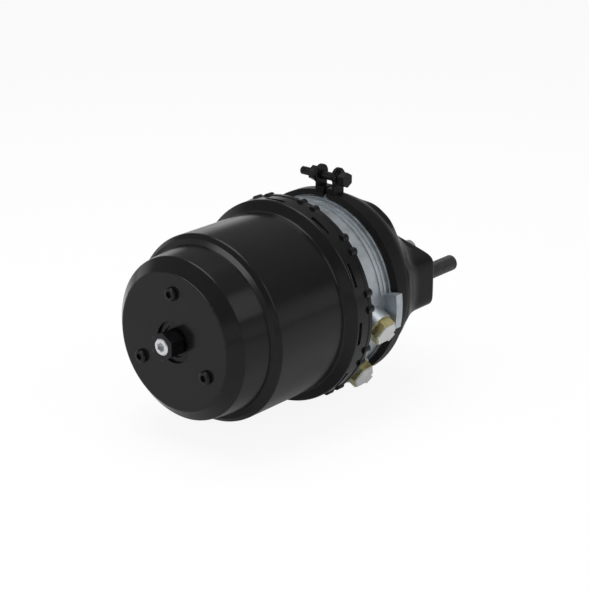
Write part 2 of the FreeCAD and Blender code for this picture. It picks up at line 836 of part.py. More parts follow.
def make_intermediate_flange():
    """Cast ring between the chambers: spigot, rim, barrel with the ports, and the tube's hub."""
    body = new_body("intermediate_flange", d.port_angle)
    spigot = can_bore - d.spigot_gap
    rim = skirt_bore - d.rim_gap
    inner = spigot - d.spigot_wall
    barrel_bore = d.barrel_radius - d.barrel_wall
    web_back = flange_face - d.seat_depth
    web_front = web_back - d.flange_web
    hub_bore = d.tube_radius + d.bush_wall
    rim_back = d.lip_end - d.lip_wall - d.face_gap
    revolve(body, [
        (d.spigot_front, inner),
        (d.spigot_front, spigot),
        (d.rim_front, spigot),
        (d.rim_front, rim),
        (rim_back, rim),
        (rim_back, d.lip_inner_radius - d.face_gap),
        (d.barrel_start, d.barrel_radius),
        (d.rim_groove_start, d.barrel_radius),
        (d.rim_groove_start, d.rim_groove_radius),
        (d.rim_start, d.rim_groove_radius),
        (d.rim_start, d.rim_radius),
        (d.rim_end, d.rim_radius),
        (d.rim_end, d.clamp_rim_radius),
        (flange_face, d.clamp_rim_radius),
        (flange_face, d.seat_radius),
        (web_back, d.seat_radius),
        (web_back, hub_bore),
        (d.hub_front, hub_bore),
        (d.hub_front, d.hub_radius),
        (web_front, d.hub_radius),
        (web_front, barrel_bore),
        (d.rim_front, barrel_bore),
        (d.rim_front, inner),
    ], "casting")
    groove(body, ring_corners(d.flange_seal_place, d.flange_seal_place + d.flange_seal_width,
                              spigot - d.flange_seal_height, can_bore + d.face_gap), "seal_groove")
    doc.recompute()
    add_port_bosses(body)
    add_flange_ribs(body, barrel_bore, web_front)
    add_seal_seats(body, web_back)
    add_loop(body)
    add_rim_pad(body)
    return body


def add_port_bosses(body):
    """Two parallel bosses with their threaded bores, and the web that joins them."""
    reach = d.port_boss_face - d.barrel_radius + d.barrel_wall
    root = d.port_boss_face - reach
    web = new_sketch(body, "XZ_Plane", "web_sketch", root)
    half = d.port_web_wall / 2
    draw_outline(web, [
        (d.port_place - half, ZERO - d.port_half_pitch),
        (d.port_place + half, ZERO - d.port_half_pitch),
        (d.port_place + half, d.port_half_pitch),
        (d.port_place - half, d.port_half_pitch),
    ])
    pad(body, web, reach - d.port_web_drop / 2, "port_web")
    bosses = new_sketch(body, "XZ_Plane", "boss_sketch", root - d.port_half_pitch / 2)
    for side in (1, -1):
        draw_circle(bosses, d.port_place, side * d.port_half_pitch, d.port_boss_radius)
    pad(body, bosses, reach + d.port_half_pitch / 2, "port_bosses")
    bores = new_sketch(body, "XZ_Plane", "bore_sketch", d.port_boss_face + d.face_gap)
    for side in (1, -1):
        draw_circle(bores, d.port_place, side * d.port_half_pitch, d.port_bore)
    pocket(body, bores, d.port_depth + d.face_gap, "port_bores")
    doc.recompute()


def add_flange_ribs(body, barrel_bore, web_front):
    """Radial ribs between the hub and the barrel, on the spring side."""
    half = d.flange_rib_wall / 2
    overlap = d.barrel_wall / 3
    sketch = new_sketch(body, "YZ_Plane", "rib_sketch", web_front)
    draw_outline(sketch, [
        (ZERO - half, d.hub_radius - overlap),
        (half, d.hub_radius - overlap),
        (half, barrel_bore + overlap),
        (ZERO - half, barrel_bore + overlap),
    ])
    rib = pad(body, sketch, web_front - d.rim_front - d.barrel_wall, "rib")
    rib.Reversed = True
    repeat(body, rib, d.flange_rib_count, "rib_ring")
    doc.recompute()


def add_seal_seats(body, web_back):
    """Stepped bore of the hub: a seal seat at each end, the bush between them."""
    seat = d.tube_radius + d.tube_seal_height
    for name, start in (("front_seat", d.hub_front), ("back_seat", web_back - d.tube_seal_width)):
        groove(body, ring_corners(start, start + d.tube_seal_width, d.tube_radius, seat), name)
    doc.recompute()


def add_loop(body):
    """A raised line that runs over the barrel and back, as a long closed loop."""
    top = d.barrel_radius + d.loop_height
    end = d.loop_start + d.loop_width
    part_turn(body, "PartDesign::Revolution",
              ring_corners(d.loop_start, end, d.rim_groove_radius, top),
              d.loop_middle, d.loop_sweep, "loop")
    part_turn(body, "PartDesign::Groove",
              ring_corners(d.loop_start + d.loop_line, end - d.loop_line,
                           d.barrel_radius + d.loop_floor, top + d.face_gap),
              d.loop_middle, d.loop_sweep - d.loop_end_sweep * 2, "loop_floor")
    doc.recompute()


def add_rim_pad(body):
    """A short pad that stands out beside the upper port, in front of the clamp."""
    part_turn(body, "PartDesign::Revolution",
              ring_corners(d.rim_pad_start, d.rim_pad_end, d.rim_groove_radius, d.rim_pad_radius),
              d.rim_pad_middle, d.rim_pad_sweep, "rim_pad")
    doc.recompute()


def make_flange_seal():
    spigot = can_bore - d.spigot_gap
    start = d.flange_seal_place + d.running_gap
    return make_ring("flange_seal", start, start + d.flange_seal_width - d.running_gap * 2,
                     spigot - d.flange_seal_height + d.running_gap, can_bore - d.running_gap)


def make_tube_bush():
    web_back = flange_face - d.seat_depth
    middle = (d.hub_front + web_back) / 2
    return make_ring("tube_guide_bush", middle - d.bush_length / 2, middle + d.bush_length / 2,
                     d.tube_radius + d.running_gap, d.tube_radius + d.bush_wall - d.running_gap)


def make_tube_seals():
    """Two lip seals, one at each end of the hub's bore."""
    body = new_body("tube_seals", separate=True)
    web_back = flange_face - d.seat_depth
    outer = d.tube_radius + d.tube_seal_height - d.running_gap
    inner = d.tube_radius + d.running_gap
    sketch = new_sketch(body, "XY_Plane", "seal_sketch")
    for start in (d.hub_front, web_back - d.tube_seal_width):
        draw_outline(sketch, ring_corners(start + d.running_gap,
                                          start + d.tube_seal_width - d.running_gap,
                                          inner, outer))
    turned = body.newObject("PartDesign::Revolution", "seals")
    turned.Profile = sketch
    turned.ReferenceAxis = (sketch, ["H_Axis"])
    turned.Angle = 360
    return body


def make_port_plugs():
    """Hexagon-headed transport plugs screwed into the two ports."""
    body = new_body("port_plugs", d.port_angle, separate=True)
    heads = new_sketch(body, "XZ_Plane", "head_sketch", d.port_boss_face)
    for side in (1, -1):
        draw_hexagon(heads, d.port_place, side * d.port_half_pitch, d.plug_flats, d.plug_turn)
    pad(body, heads, d.plug_head, "heads")
    root = d.port_boss_face - d.port_depth + d.face_gap
    threads = new_sketch(body, "XZ_Plane", "thread_sketch", root)
    for side in (1, -1):
        draw_circle(threads, d.port_place, side * d.port_half_pitch, d.port_bore - d.running_gap)
    pad(body, threads, d.port_boss_face - root, "threads")
    return body


def make_plug_caps():
    """Thin hexagonal caps on the plugs, each with a tab to pull it off."""
    body = new_body("plug_caps", d.port_angle, separate=True)
    face = d.port_boss_face + d.plug_head
    caps = new_sketch(body, "XZ_Plane", "cap_sketch", face)
    for side in (1, -1):
        draw_hexagon(caps, d.port_place, side * d.port_half_pitch, d.cap_flats, d.plug_turn)
    pad(body, caps, d.cap_wall, "caps")
    tabs = new_sketch(body, "XZ_Plane", "tab_sketch", face)
    lean, rise = sine(d.cap_tab_turn), cosine(d.cap_tab_turn)
    half_along, half_across = d.cap_tab_width / 2 * lean, d.cap_tab_width / 2 * rise
    for side in (1, -1):
        centre = side * d.port_half_pitch
        tip_along = d.port_place + d.cap_tab_reach * rise
        tip_across = centre - d.cap_tab_reach * lean
        draw_outline(tabs, [
            (d.port_place - half_along, centre - half_across),
            (tip_along - half_along, tip_across - half_across),
            (tip_along + half_along, tip_across + half_across),
            (d.port_place + half_along, centre + half_across),
        ])
    pad(body, tabs, d.cap_wall, "tabs")
    return body


# Service chamber

def make_diaphragm():
    """Rubber cup, clamped at its rim and pushed out by the plate."""
    body = new_body("diaphragm")
    wall = d.diaphragm_wall
    revolve(body, [
        (flange_face, d.clamp_rim_radius),
        (flange_face, d.diaphragm_roll_radius),
        (diaphragm_flat, d.diaphragm_flat_radius),
        (diaphragm_flat, ZERO),
        (diaphragm_flat + wall, ZERO),
        (diaphragm_flat + wall, d.diaphragm_flat_radius + wall / 2),
        (diaphragm_back, d.diaphragm_roll_radius + wall),
        (diaphragm_back, d.clamp_rim_radius),
    ], "cup")
    return body


def make_push_plate():
    """Dished plate behind the diaphragm."""
    body = new_body("push_plate")
    rim_back = plate_front + d.plate_rim
    revolve(body, [
        (plate_front, ZERO),
        (plate_front, d.plate_radius),
        (rim_back, d.plate_radius),
        (rim_back, d.plate_radius - d.plate_rim_wall),
        (plate_back, d.plate_radius - d.plate_rim_wall),
        (plate_back, ZERO),
    ], "plate")
    return body


def make_push_rod():
    """Rod with a collar against the plate and a rounded tip for the brake lever."""
    body = new_body("push_rod")
    revolve(body, [
        (plate_back, ZERO),
        (plate_back, d.rod_collar_radius),
        (plate_back + d.rod_collar_length, d.rod_collar_radius),
        (plate_back + d.rod_collar_length, d.rod_radius),
        (rod_tip - d.rod_tip_chamfer, d.rod_radius),
        (rod_tip, d.rod_radius - d.rod_tip_chamfer),
        (rod_tip, ZERO),
    ], "rod")
    return body


def make_service_housing():
    """Domed cup with a rim for the clamp and a long block that carries the mounting face."""
    body = new_body("service_housing")
    wall = d.housing_wall
    outer = revolve(body, [
        (diaphragm_back, ZERO),
        (diaphragm_back, d.clamp_rim_radius),
        (housing_rim_back, d.clamp_rim_radius),
        (housing_rim_back, d.dome_radius),
        (dome_bend, d.dome_radius),
        (dome_end, d.dome_end_radius),
        (dome_end, ZERO),
    ], "dome")
    doc.recompute()
    round_edges(body, outer, circle_edges(outer, (dome_bend, d.dome_radius)),
                d.dome_fillet, "dome_round")
    doc.recompute()
    add_block(body)
    add_land(body)
    groove(body, [
        (diaphragm_back - d.face_gap, ZERO),
        (diaphragm_back - d.face_gap, d.dome_radius - d.dome_wall),
        (dome_bend - wall / 2, d.dome_radius - d.dome_wall),
        (dome_end - wall, d.dome_end_radius - wall),
        (dome_end - wall, ZERO),
    ], "cavity")
    doc.recompute()
    cut_block_cavity(body)
    add_stud_bosses(body)
    add_mouth(body)
    return body


def draw_block(sketch, inset):
    """The block's outline, a long hexagon with its top and bottom cut flat."""
    side, high = d.block_side_height - inset, d.block_half_height - inset
    wide, flat = d.block_half_width - inset, d.block_flat_half
    draw_outline(sketch, [
        (wide, ZERO - side), (wide, side), (flat, high), (ZERO - flat, high),
        (ZERO - wide, side), (ZERO - wide, ZERO - side), (ZERO - flat, ZERO - high),
        (flat, ZERO - high),
    ])


def add_block(body):
    """The block out to the mounting face, its four side corners and its front edge rounded."""
    sketch = new_sketch(body, "YZ_Plane", "block_sketch", overall_length - d.block_reach)
    draw_block(sketch, ZERO)
    block = pad(body, sketch, d.block_reach, "block")
    doc.recompute()
    corner = FreeCAD.Vector(0, d.block_half_width.value, d.block_side_height.value)
    corners = edges_where(block, lambda spot, edge: abs(abs(spot.y) - corner.y) < CLOSE
                          and abs(abs(spot.z) - corner.z) < CLOSE)
    rounded = round_edges(body, block, corners, d.block_corner, "block_corners")
    doc.recompute()
    front = edges_where(rounded, lambda spot, edge: abs(spot.x - overall_length.value) < CLOSE)
    round_edges(body, rounded, front, d.block_fillet, "block_round")
    doc.recompute()


def cut_block_cavity(body):
    """Hollows the block from the dome's side, one wall short of the mounting face."""
    sketch = new_sketch(body, "YZ_Plane", "block_cavity_sketch", dome_bend)
    draw_block(sketch, d.housing_wall)
    cavity = pocket(body, sketch, inner_face - dome_bend, "block_cavity", backwards=True)
    doc.recompute()
    wide = d.block_half_width.value - d.housing_wall.value
    side = d.block_side_height.value - d.housing_wall.value
    corners = edges_where(cavity, lambda spot, edge: abs(abs(spot.y) - wide) < CLOSE
                          and abs(abs(spot.z) - side) < CLOSE)
    round_edges(body, cavity, corners, d.block_corner - d.housing_wall, "cavity_corners")
    doc.recompute()


def add_land(body):
    """A flat land on the dome beside the clamp, which steps down to the dome's cone."""
    front = overall_length - d.land_front_back
    step = overall_length - d.land_step_back
    end = overall_length - d.land_end_back
    foot = land_sketch(body, "land_foot", step, d.land_height - d.land_depth, d.land_height)
    pad(body, foot, end - step, "land_foot")
    cut = land_sketch(body, "land_cut", front, d.land_height, d.dome_radius + d.face_gap)
    pocket(body, cut, end - front, "land_cut", backwards=True)
    doc.recompute()


def land_sketch(body, name, start, low, high):
    half = d.land_half_width
    sketch = new_sketch(body, "YZ_Plane", name + "_sketch", start, FreeCAD.Vector(0, 0, 1),
                        d.land_turn)
    draw_outline(sketch, [(ZERO - half, low), (half, low), (half, high), (ZERO - half, high)])
    return sketch


def add_stud_bosses(body):
    """Thick pads inside the mounting face, bored for the studs."""
    sketch = new_sketch(body, "YZ_Plane", "stud_boss_sketch", inner_face - d.stud_boss_height)
    for side in (1, -1):
        draw_circle(sketch, side * half_stud_pitch, ZERO, d.stud_boss_radius)
    pad(body, sketch, d.stud_boss_height + d.housing_wall / 2, "stud_bosses")
    holes = new_sketch(body, "YZ_Plane", "stud_hole_sketch", overall_length + d.face_gap)
    for side in (1, -1):
        draw_circle(holes, side * half_stud_pitch, ZERO, d.stud_root_radius + d.running_gap)
    pocket(body, holes, d.stud_boss_height + d.housing_wall + d.face_gap * 2, "stud_holes")
    doc.recompute()


def add_mouth(body):
    """Opening for the push rod, with a seat for the gaiter's lip and a groove for the face ring."""
    groove(body, ring_corners(inner_face - d.face_gap, overall_length + d.face_gap,
                              ZERO, d.mouth_radius), "mouth")
    groove(body, ring_corners(overall_length - d.mouth_seat_depth,
                              overall_length + d.face_gap, ZERO, d.mouth_seat_radius),
           "mouth_seat")
    ring = d.face_ring_wire / 2
    room = ring + d.face_ring_room
    groove(body, ring_corners(overall_length - ring, overall_length + d.face_gap,
                              d.face_ring_radius - room, d.face_ring_radius + room),
           "face_ring_groove")
    doc.recompute()


def make_face_ring():
    """Rubber ring in the mounting face, round the rod's mouth."""
    ring = d.face_ring_wire / 2
    return make_ring("face_seal_ring", overall_length - ring + d.running_gap,
                     overall_length - d.running_gap, d.face_ring_radius - ring,
                     d.face_ring_radius + ring)


def make_gaiter():
    """Folded rubber gaiter from the mouth to the push rod."""
    body = new_body("rod_gaiter")
    wall = d.gaiter_wall
    rod = d.rod_radius + d.running_gap
    start = overall_length - d.mouth_seat_depth + d.running_gap
    lip_end = overall_length
    outer = [(start, d.gaiter_mouth_radius - wall),
             (start, d.mouth_seat_radius - d.running_gap),
             (lip_end - d.running_gap, d.mouth_seat_radius - d.running_gap),
             (lip_end - d.running_gap, d.gaiter_mouth_radius)]
    inner = []
    folds = int(d.gaiter_folds.value)
    drop = (d.gaiter_mouth_radius - rod - wall * 2) / (folds + 1)
    for fold in range(folds):
        along = lip_end + d.gaiter_fold_length * (fold + 0.5)
        valley = along + d.gaiter_fold_length / 2
        crest_radius = d.gaiter_mouth_radius - drop * fold
        valley_radius = crest_radius - d.gaiter_fold_height
        outer += [(along, crest_radius), (valley, valley_radius)]
        inner = [(valley, valley_radius - wall), (along, crest_radius - wall)] + inner
    end = lip_end + d.gaiter_fold_length * (folds + 0.5)
    outer += [(end, rod + wall * 1.5), (end + wall * 2, rod + wall * 1.5), (end + wall * 2, rod),
              (end, rod)]
    revolve(body, outer + inner, "gaiter")
    return body


def make_mounting_studs():
    """Two studs pressed through the mounting face from inside, each with a round head."""
    body = new_body("mounting_studs", separate=True)
    root = inner_face - d.stud_boss_height
    heads = new_sketch(body, "YZ_Plane", "head_sketch", root - d.stud_head_height)
    for side in (1, -1):
        draw_circle(heads, side * half_stud_pitch, ZERO, d.stud_head_radius)
    pad(body, heads, d.stud_head_height, "heads")
    roots = new_sketch(body, "YZ_Plane", "root_sketch", root)
    for side in (1, -1):
        draw_circle(roots, side * half_stud_pitch, ZERO, d.stud_root_radius)
    pad(body, roots, overall_length - root, "roots")
    shanks = new_sketch(body, "YZ_Plane", "shank_sketch", overall_length)
    for side in (1, -1):
        draw_circle(shanks, side * half_stud_pitch, ZERO, d.stud_radius)
    shank = pad(body, shanks, d.stud_reach, "shanks")
    doc.recompute()
    tip = overall_length.value + d.stud_reach.value
    tips = edges_where(shank, lambda spot, edge: abs(spot.x - tip) < CLOSE)
    bevel_edges(body, shank, tips, d.stud_chamfer, "tips")
    return body


# Clamp

band_edge = d.rim_end - d.band_overlap
band_edge_radius = d.rim_radius + d.band_edge_gap
band_bend = band_edge + d.band_slope
band_radius = band_edge_radius + d.band_rise
band_back = housing_rim_back + d.band_overlap
band_back_bend = band_back - d.band_slope
ear_middle = (band_edge + band_back) / 2
ear_bolt_height = band_radius + d.ear_bolt_lift
near_ear_face = d.ear_offset + d.ear_half_pitch + d.ear_wall / 2
far_ear_face = d.ear_offset - d.ear_half_pitch - d.ear_wall / 2


def make_clamp_band():
    """Band of V section round both rims, split near the top, with an ear to each side."""
    body = new_body("clamp_band")
    wall = d.band_wall
    revolve(body, [
        (band_edge, band_edge_radius),
        (band_bend, band_radius),
        (band_back_bend, band_radius),
        (band_back, band_edge_radius),
        (band_back - wall, band_edge_radius - wall / 4),
        (band_back_bend - wall / 2, band_radius - wall),
        (band_bend + wall / 2, band_radius - wall),
        (band_edge + wall, band_edge_radius - wall / 4),
    ], "band")
    doc.recompute()
    base = band_radius - wall
    across_block(body, "saddle", far_ear_face, near_ear_face, base,
                 band_radius + d.saddle_height)
    for name, face in (("far_ear", far_ear_face), ("near_ear", near_ear_face - d.ear_wall)):
        across_block(body, name, face, face + d.ear_wall, base, ear_bolt_height)
        crown = new_sketch(body, "XZ_Plane", name + "_crown_sketch", face)
        draw_circle(crown, ear_middle, ear_bolt_height + d.ear_crown_lift, d.ear_radius)
        pad(body, crown, d.ear_wall, name + "_crown")
    half_gap = d.band_gap / 2
    gap = new_sketch(body, "XY_Plane", "gap_sketch")
    draw_outline(gap, [
        (band_edge - wall, ZERO - d.ear_offset - half_gap),
        (band_back + wall, ZERO - d.ear_offset - half_gap),
        (band_back + wall, half_gap - d.ear_offset),
        (band_edge - wall, half_gap - d.ear_offset),
    ])
    pocket(body, gap, ear_bolt_height, "gap", backwards=True)
    bolt_hole = new_sketch(body, "XZ_Plane", "bolt_hole_sketch", near_ear_face + d.face_gap)
    draw_circle(bolt_hole, ear_middle, ear_bolt_height, d.clamp_bolt_hole)
    pocket(body, bolt_hole, near_ear_face - far_ear_face + d.face_gap * 2, "bolt_holes")
    doc.recompute()
    return body


def across_block(body, name, start, end, low, high):
    """A block as wide as an ear, from one distance across the band to another."""
    sketch = new_sketch(body, "XZ_Plane", name + "_sketch", start)
    draw_outline(sketch, [
        (ear_middle - d.ear_half_width, low),
        (ear_middle + d.ear_half_width, low),
        (ear_middle + d.ear_half_width, high),
        (ear_middle - d.ear_half_width, high),
    ])
    pad(body, sketch, end - start, name)


def make_clamp_bolt():
    """Flanged hexagon bolt across the ears, its head on the near side."""
    body = new_body("clamp_bolt")
    washer = new_sketch(body, "XZ_Plane", "washer_sketch", near_ear_face)
    draw_circle(washer, ear_middle, ear_bolt_height, d.clamp_washer_radius)
    pad(body, washer, d.clamp_washer_height, "washer")
    head = new_sketch(body, "XZ_Plane", "head_sketch", near_ear_face)
    draw_hexagon(head, ear_middle, ear_bolt_height, d.clamp_head_flats)
    pad(body, head, d.clamp_head_height, "head")
    tail = far_ear_face - d.clamp_nut_height - d.clamp_bolt_tail
    shank = new_sketch(body, "XZ_Plane", "shank_sketch", tail)
    draw_circle(shank, ear_middle, ear_bolt_height, d.clamp_bolt_radius)
    shank_pad = pad(body, shank, near_ear_face - tail, "shank")
    doc.recompute()
    tip = edges_where(shank_pad, lambda spot, edge: abs(spot.y + tail.value) < CLOSE)
    bevel_edges(body, shank_pad, tip, d.clamp_thread_chamfer, "tip")
    return body


def make_clamp_nut():
    body = new_body("clamp_nut")
    washer = new_sketch(body, "XZ_Plane", "washer_sketch", far_ear_face - d.clamp_washer_height)
    draw_circle(washer, ear_middle, ear_bolt_height, d.clamp_washer_radius)
    pad(body, washer, d.clamp_washer_height, "washer")
    nut = new_sketch(body, "XZ_Plane", "nut_sketch", far_ear_face - d.clamp_nut_height)
    draw_hexagon(nut, ear_middle, ear_bolt_height, d.clamp_head_flats)
    pad(body, nut, d.clamp_nut_height, "nut")
    bore = new_sketch(body, "XZ_Plane", "bore_sketch", far_ear_face + d.face_gap)
    draw_circle(bore, ear_middle, ear_bolt_height, d.clamp_bolt_radius + d.running_gap)
    pocket(body, bore, d.clamp_nut_height + d.face_gap * 2, "bore")
    return body


# Assembly

def make_all():
    make_spring_housing()
    make_face_screws()
    make_release_guide()
    make_release_guide_seal()
    make_release_bolt()
    make_indicator_pin()
    make_thrust_nut()
    make_thrust_washer()
    make_spring_piston()
    make_piston_ring("piston_seal", d.piston_seal_place, d.piston_seal_width, d.piston_seal_height)
    make_piston_ring("piston_guide_ring", d.guide_ring_place, d.guide_ring_width,
                     d.guide_ring_height)
    make_seat_ring()
    make_piston_tube()
    make_thrust_plate()
    make_thrust_screw()
    spring_start = d.can_wall + d.spring_wire + d.face_gap
    spring_end = piston_web_front - d.seat_ring_wall - d.spring_wire - d.face_gap
    make_spring("power_spring", spring_start, spring_end, d.spring_mean_radius, d.spring_wire,
                d.spring_turns)
    make_intermediate_flange()
    make_flange_seal()
    make_tube_bush()
    make_tube_seals()
    make_port_plugs()
    make_plug_caps()
    make_diaphragm()
    make_push_plate()
    make_push_rod()
    make_spring("return_spring", plate_back + d.return_wire + d.face_gap,
                inner_face - d.return_wire - d.face_gap, d.return_radius, d.return_wire,
                d.return_turns)
    make_service_housing()
    make_face_ring()
    make_gaiter()
    make_mounting_studs()
    make_clamp_band()
    make_clamp_bolt()
    make_clamp_nut()


def check_document():
    for item in doc.Objects:
        if "Invalid" in item.State or "Error" in item.State:
            raise RuntimeError(f"{item.Label} failed: {item.State}")
    for item in SUBPARTS:
        if item.Shape.isNull() or not item.Shape.isValid():
            raise RuntimeError(f"{item.Label} has no valid shape")


make_all()
doc.recompute()
check_document()
os.makedirs("parts", exist_ok=True)
for item in SUBPARTS:
    item.Shape.exportStep(f"parts/{item.Label}.step")
    box = item.Shape.BoundBox
    print(f"{item.Label}: {len(item.Shape.Solids)} solid, {item.Shape.Volume:.0f} mm3, "
          f"x {box.XMin:.1f} to {box.XMax:.1f}")
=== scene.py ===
import math

import bpy
from mathutils import Matrix, Vector


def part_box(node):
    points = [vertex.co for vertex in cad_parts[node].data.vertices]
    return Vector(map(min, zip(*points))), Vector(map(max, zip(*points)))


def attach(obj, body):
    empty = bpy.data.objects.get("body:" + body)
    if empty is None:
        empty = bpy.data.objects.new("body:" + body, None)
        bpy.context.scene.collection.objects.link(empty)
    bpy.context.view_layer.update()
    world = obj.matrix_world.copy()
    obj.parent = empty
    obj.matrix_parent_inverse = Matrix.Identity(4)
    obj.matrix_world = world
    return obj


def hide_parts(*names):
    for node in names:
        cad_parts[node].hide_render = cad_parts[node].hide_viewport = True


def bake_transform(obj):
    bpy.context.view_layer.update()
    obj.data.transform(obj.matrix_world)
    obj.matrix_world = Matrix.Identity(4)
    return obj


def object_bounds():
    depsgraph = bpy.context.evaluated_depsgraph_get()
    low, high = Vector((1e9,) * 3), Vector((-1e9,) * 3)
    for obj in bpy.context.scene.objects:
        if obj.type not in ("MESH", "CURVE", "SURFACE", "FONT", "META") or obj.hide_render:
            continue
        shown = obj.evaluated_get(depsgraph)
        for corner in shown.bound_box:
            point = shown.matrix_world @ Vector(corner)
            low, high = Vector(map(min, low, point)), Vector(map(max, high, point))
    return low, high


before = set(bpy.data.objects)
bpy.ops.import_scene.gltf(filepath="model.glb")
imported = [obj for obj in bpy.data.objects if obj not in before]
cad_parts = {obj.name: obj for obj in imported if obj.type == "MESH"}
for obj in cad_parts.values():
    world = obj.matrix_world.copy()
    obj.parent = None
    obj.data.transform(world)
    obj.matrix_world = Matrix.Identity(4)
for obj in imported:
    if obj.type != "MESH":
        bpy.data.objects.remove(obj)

cad_low, cad_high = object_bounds()

# Camera: a pinhole fitted to the photograph, looking at the spring end's face
IMAGE_PIXELS = 589
FOCAL_PIXELS = 1702
SENSOR_MM = 36
CAMERA_RIGHT = Vector((0.6489, -0.7609, 0.0))
CAMERA_UP = Vector((0.2596, 0.2214, 0.9400))
CAMERA_BACK = Vector((-0.7152, -0.6100, 0.3412))
FACE_CENTRE = Vector((-0.288, 0, 0))
CAMERA_OFFSET = (0.1091, 0.0431, 1.5318)

# Stage
FLOOR_SIZE = 30.0
FLOOR_GAP = 0.0005
FLOOR_COLOUR = (0.86, 0.86, 0.86)
FLOOR_GLOW_SHARE = 0.9
FLOOR_GLOSS_SHARE = 0.12

# Each lamp: its name, place, aim, size and power
LAMPS = (
    ("overhead", (-0.25, 0.2, 1.5), (-0.15, 0, 0), (1.2, 1.0), 16),
    ("left", (-1.6, 0.5, 0.5), (-0.1, 0, 0), (0.8, 0.5), 7),
    ("front", (0.2, -1.7, 1.3), (-0.1, 0, 0), (1.6, 1.2), 11),
)

# Wear: how far a normal turns, as 1 - cosine, where wear starts and is full
WEAR_START, WEAR_FULL = 0.02, 0.25
WORN_PLATING, WORN_CASTING = 1.5, 1.25
THREAD_DEPTH = 0.0005


def socket(node, name):
    """Finds an input of a node by its name, among those in use."""
    return next(s for s in node.inputs if s.name == name and s.enabled)


class Finish:
    """One procedural material, with short calls for its nodes."""

    def __init__(self, name, metallic=0.0, specular=0.5):
        self.material = bpy.data.materials.new(name)
        self.material.use_nodes = True
        self.tree = self.material.node_tree
        self.shader = self.tree.nodes["Principled BSDF"]
        self.shader.inputs["Metallic"].default_value = metallic
        self.shader.inputs["Specular IOR Level"].default_value = specular
        self.place = self.node("ShaderNodeTexCoord").outputs["Object"]
        self.height = None

    def node(self, kind, **settings):
        made = self.tree.nodes.new(kind)
        for key, value in settings.items():
            setattr(made, key, value)
        return made

    def join(self, source, target):
        self.tree.links.new(source, target)

    def stretched_place(self, scale):
        mapping = self.node("ShaderNodeMapping")
        mapping.inputs["Scale"].default_value = scale
        self.join(self.place, mapping.inputs["Vector"])
        return mapping.outputs["Vector"]

    def noise(self, scale, detail=3.0, roughness=0.55, place=None):
        made = self.node("ShaderNodeTexNoise")
        made.inputs["Scale"].default_value = scale
        made.inputs["Detail"].default_value = detail
        made.inputs["Roughness"].default_value = roughness
        self.join(place or self.place, made.inputs["Vector"])
        return made.outputs["Fac"]

    def spots(self, scale):
        made = self.node("ShaderNodeTexVoronoi", feature="F1")
        made.inputs["Scale"].default_value = scale
        self.join(self.place, made.inputs["Vector"])
        return made.outputs["Distance"]

    def remap(self, source, low_in, high_in, low_out=0.0, high_out=1.0):
        made = self.node("ShaderNodeMapRange")
        made.inputs["From Min"].default_value = low_in
        made.inputs["From Max"].default_value = high_in
        made.inputs["To Min"].default_value = low_out
        made.inputs["To Max"].default_value = high_out
        self.join(source, made.inputs["Value"])
        return made.outputs["Result"]

    def combine(self, operation, first, second):
        made = self.node("ShaderNodeMath", operation=operation)
        for target, value in zip(made.inputs, (first, second)):
            if isinstance(value, (int, float)):
                target.default_value = value
            else:
                self.join(value, target)
        return made.outputs["Value"]

    def blend_colours(self, share, first, second):
        made = self.node("ShaderNodeMix", data_type="RGBA")
        self.join(share, socket(made, "Factor"))
        for name, value in (("A", first), ("B", second)):
            target = socket(made, name)
            if isinstance(value, tuple):
                target.default_value = (*value, 1)
            else:
                self.join(value, target)
        return next(s for s in made.outputs if s.enabled)

    def edges(self, radius):
        """A mask that is 1 on sharp edges, where paint and plating wear."""
        rounded = self.node("ShaderNodeBevel", samples=4)
        rounded.inputs["Radius"].default_value = radius
        geometry = self.node("ShaderNodeNewGeometry")
        dot = self.node("ShaderNodeVectorMath", operation="DOT_PRODUCT")
        self.join(rounded.outputs["Normal"], dot.inputs[0])
        self.join(geometry.outputs["Normal"], dot.inputs[1])
        return self.remap(dot.outputs["Value"], 1 - WEAR_START, 1 - WEAR_FULL)

    def thread(self, axis, pitch, low, high):
        """Ridges along an axis, one to each pitch, between two places on it."""
        split = self.node("ShaderNodeSeparateXYZ")
        self.join(self.place, split.inputs[0])
        along = split.outputs[axis]
        ridge = self.combine("PINGPONG", along, pitch / 2)
        inside = self.combine("MULTIPLY", self.combine("GREATER_THAN", along, low),
                              self.combine("LESS_THAN", along, high))
        return self.combine("MULTIPLY", self.remap(ridge, 0, pitch / 2), inside)

    def colour(self, source):
        self.join(source, self.shader.inputs["Base Color"])

    def roughness(self, source):
        self.join(source, self.shader.inputs["Roughness"])

    def bump(self, source, depth):
        made = self.node("ShaderNodeBump")
        made.inputs["Distance"].default_value = depth
        made.inputs["Strength"].default_value = 1.0
        self.join(source, made.inputs["Height"])
        if self.height is not None:
            self.join(self.height, made.inputs["Normal"])
        self.height = made.outputs["Normal"]
        self.join(self.height, self.shader.inputs["Normal"])


def brighter(colour, factor):
    return tuple(min(1.0, part * factor) for part in colour)


def paint(name, dark, light, worn, roughness, peel_depth, specular):
    """Sprayed paint: orange peel, faint cloudiness, handling marks and thinner paint on edges."""
    made = Finish(name, specular=specular)
    cloud = made.noise(14, detail=4)
    speck = made.remap(made.noise(1500, detail=2), 0.64, 0.72)
    body = made.blend_colours(cloud, dark, light)
    rubbed = made.remap(made.noise(90, detail=5), 0.35, 0.7, 0.1, 0.7)
    body = made.blend_colours(made.combine("MULTIPLY", made.edges(0.0007), rubbed), body, worn)
    made.colour(made.blend_colours(made.combine("MULTIPLY", speck, 0.2), body, worn))
    smudge = made.remap(made.noise(22, detail=6, roughness=0.65), 0.3, 0.75,
                        roughness, roughness + 0.1)
    fine = made.remap(made.noise(600), 0.3, 0.7, -0.02, 0.03)
    made.roughness(made.combine("ADD", smudge, fine))
    made.bump(made.noise(420, detail=1.5), peel_depth)
    made.bump(made.noise(2600, detail=2), peel_depth * 0.25)
    return made.material


